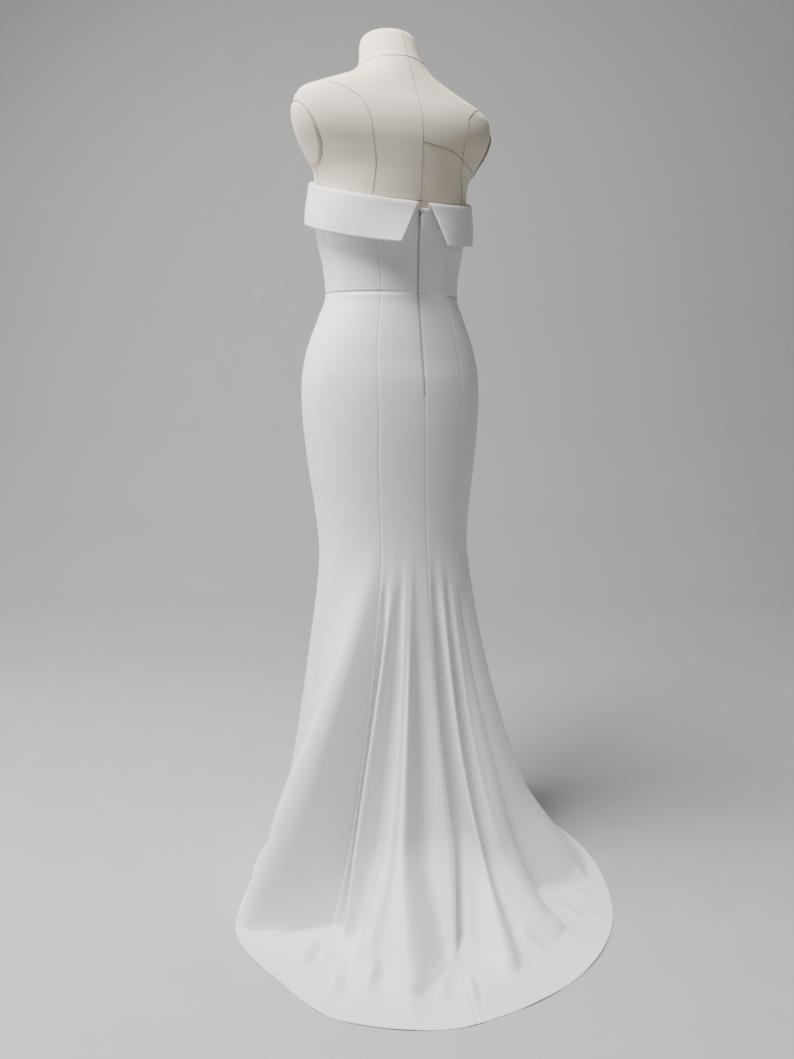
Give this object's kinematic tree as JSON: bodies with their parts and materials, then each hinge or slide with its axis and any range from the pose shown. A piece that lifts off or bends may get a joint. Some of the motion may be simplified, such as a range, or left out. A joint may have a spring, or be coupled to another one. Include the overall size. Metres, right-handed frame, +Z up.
{
  "type": "mermaid gown on dress form",
  "caption": "Strapless mermaid gown with a folded cuff, a centre-back zip and a short train, on a limbless dress form with a pole and round base.",
  "frame": {"origin": "centre of the stand base's underside, on the floor and on the pole's axis", "axes": "+Z up; the form faces -Y, the train lies towards +Y, and the wearer's left is +X"},
  "size_m": [0.7393, 0.7517, 1.583],
  "materials": {
    "crepe": "ivory crepe with a soft satin sheen",
    "linen": "warm ivory plain-weave linen",
    "zip_tape": "grey zip tape and coil",
    "zip_metal": "satin nickel",
    "stand_paint": "satin black enamel"
  },
  "bodies": {
    "root": {"bodice_front": "crepe", "skirt_front": "crepe", "bodice_side_front_left": "crepe", "skirt_side_front_left": "crepe", "bodice_side_back_left": "crepe", "skirt_side_back_left": "crepe", "bodice_back_left": "crepe", "skirt_back_left": "crepe", "bodice_back_right": "crepe", "skirt_back_right": "crepe", "bodice_side_back_right": "crepe", "skirt_side_back_right": "crepe", "bodice_side_front_right": "crepe", "skirt_side_front_right": "crepe", "cuff": "crepe", "form_torso": "linen", "form_arm_plate_left": "linen", "form_arm_plate_right": "linen", "stand_base": "stand_paint", "stand_pole": "stand_paint", "zip_chain": "zip_tape", "zip_slider": "zip_metal"},
    "zip_pull": {"zip_pull": "zip_metal"}
  },
  "joints": [
    {"name": "zip_pull_hinge", "type": "hinge", "parent": "root", "child": "zip_pull", "pos_m": [0, 0.10591, 1.256], "axis": [1, 0, 0], "range_deg": [0, 150]}
  ]
}
